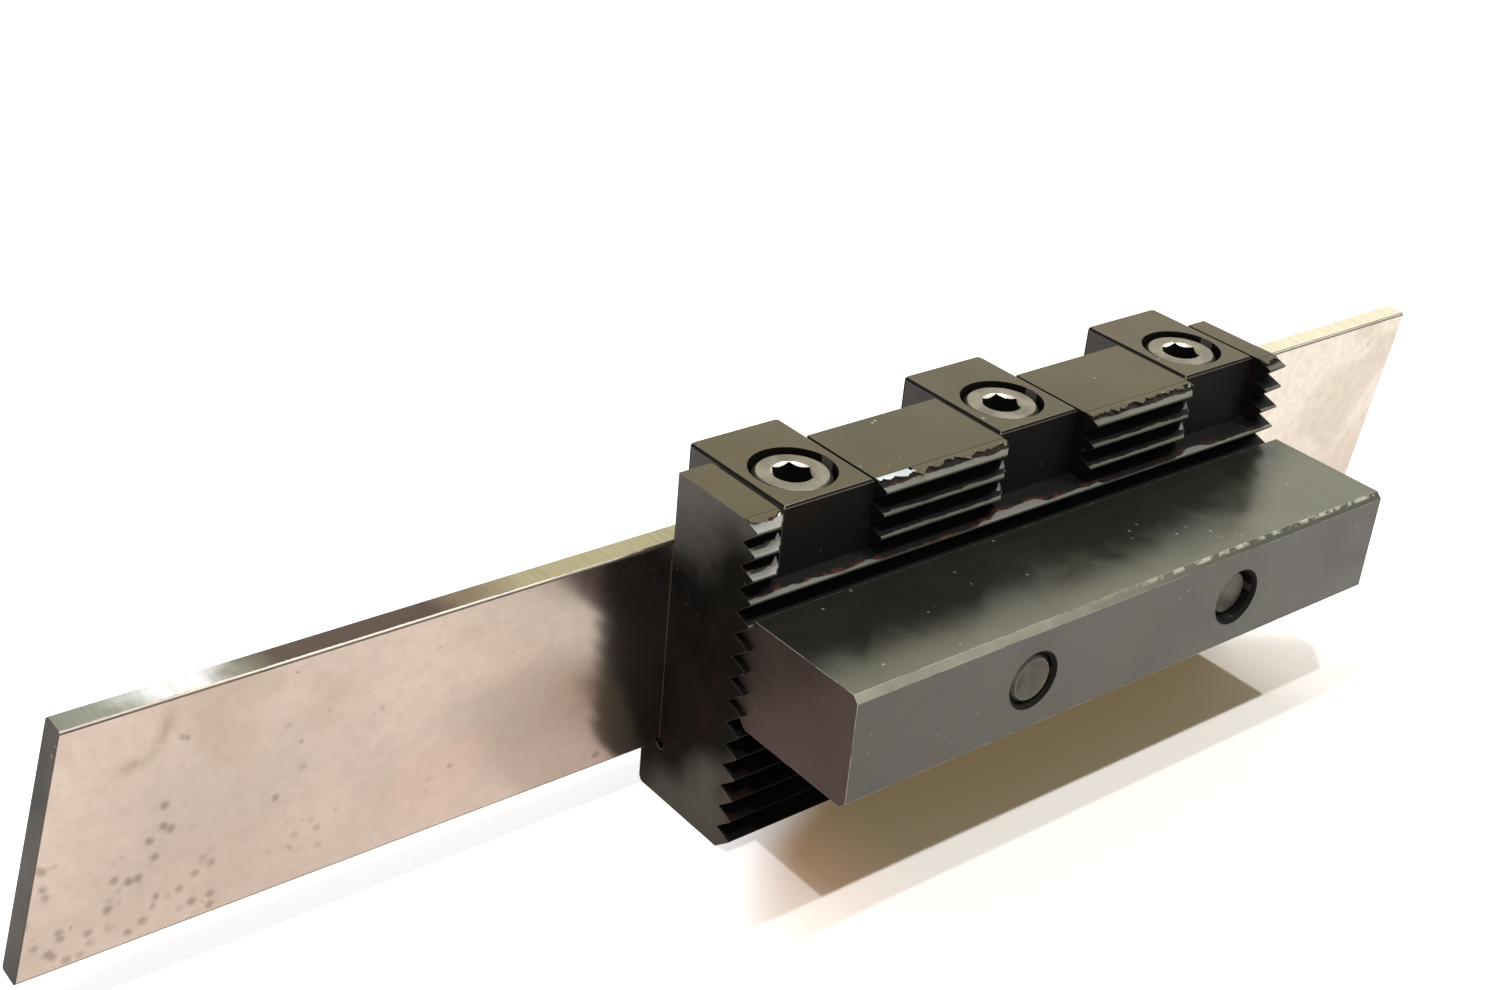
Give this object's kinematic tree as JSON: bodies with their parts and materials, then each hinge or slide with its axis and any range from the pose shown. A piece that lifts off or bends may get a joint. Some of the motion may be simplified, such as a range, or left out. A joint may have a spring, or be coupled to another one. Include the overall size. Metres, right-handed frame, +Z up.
{
  "type": "parting blade holder",
  "caption": "Serrated lathe tool block that clamps a flat parting blade on its rear seat with screwed jaws, on a serrated shank that sets the blade's height.",
  "frame": {"origin": "on the base of the block, in the plane of the blade seat, halfway along the block", "axes": "+X along the blade, +Y from the block towards the blade's outer side (the shank is on the -Y side), +Z up from the base towards the jaws"},
  "size_m": [0.1961, 0.035, 0.0402],
  "materials": {
    "blackened_steel": "black oxide, satin, worn bright along the edges",
    "screw_steel": "satin with a faint olive tint",
    "blade_steel": "ground, lightly stained"
  },
  "bodies": {
    "holder": {"holder_body": "blackened_steel"},
    "blade": {"blade": "blade_steel"},
    "shank": {"shank": "blackened_steel"},
    "jaw_1": {"jaw_1": "blackened_steel"},
    "clamp_screw_1": {"clamp_screw_1": "screw_steel"},
    "jaw_2": {"jaw_2": "blackened_steel"},
    "clamp_screw_2": {"clamp_screw_2": "screw_steel"},
    "jaw_3": {"jaw_3": "blackened_steel"},
    "clamp_screw_3": {"clamp_screw_3": "screw_steel"},
    "shank_screw_1": {"shank_screw_1": "screw_steel"},
    "shank_screw_2": {"shank_screw_2": "screw_steel"}
  },
  "joints": [
    {"name": "blade_slide", "type": "slide", "parent": "holder", "child": "blade", "axis": [1, 0, 0], "range_m": [-0.044, 0.065]},
    {"name": "jaw_1_lift", "type": "slide", "parent": "holder", "child": "jaw_1", "axis": [0, 0, 1], "range_m": [0, 0.0024]},
    {"name": "clamp_screw_1_turn", "type": "hinge", "parent": "jaw_1", "child": "clamp_screw_1", "pos_m": [-0.0296, -0.0051, 0.035], "axis": [0, 0, 1], "range_deg": [0, 1081]},
    {"name": "jaw_2_lift", "type": "slide", "parent": "holder", "child": "jaw_2", "axis": [0, 0, 1], "range_m": [0, 0.0024]},
    {"name": "clamp_screw_2_turn", "type": "hinge", "parent": "jaw_2", "child": "clamp_screw_2", "pos_m": [0.0016, -0.0039, 0.035], "axis": [0, 0, 1], "range_deg": [0, 1081]},
    {"name": "jaw_3_lift", "type": "slide", "parent": "holder", "child": "jaw_3", "axis": [0, 0, 1], "range_m": [0, 0.0024]},
    {"name": "clamp_screw_3_turn", "type": "hinge", "parent": "jaw_3", "child": "clamp_screw_3", "pos_m": [0.0314, -0.0042, 0.035], "axis": [0, 0, 1], "range_deg": [0, 1081]},
    {"name": "shank_screw_1_turn", "type": "hinge", "parent": "holder", "child": "shank_screw_1", "pos_m": [-0.01485, -0.0066, 0.02268], "axis": [0, 1, 0], "range_deg": [0, 937]},
    {"name": "shank_screw_2_turn", "type": "hinge", "parent": "holder", "child": "shank_screw_2", "pos_m": [0.01735, -0.0066, 0.02268], "axis": [0, 1, 0], "range_deg": [0, 937]},
    {"name": "shank_release", "type": "slide", "parent": "holder", "child": "shank", "axis": [0, -1, 0], "range_m": [0, 0.0026]}
  ],
  "couplings": [
    {"joint": "clamp_screw_1_turn", "follows": "jaw_1_lift", "rad_per_m": 7854},
    {"joint": "clamp_screw_2_turn", "follows": "jaw_2_lift", "rad_per_m": 7854},
    {"joint": "clamp_screw_3_turn", "follows": "jaw_3_lift", "rad_per_m": 7854},
    {"joint": "shank_screw_1_turn", "follows": "shank_release", "rad_per_m": 6283.2},
    {"joint": "shank_screw_2_turn", "follows": "shank_release", "rad_per_m": 6283.2}
  ]
}
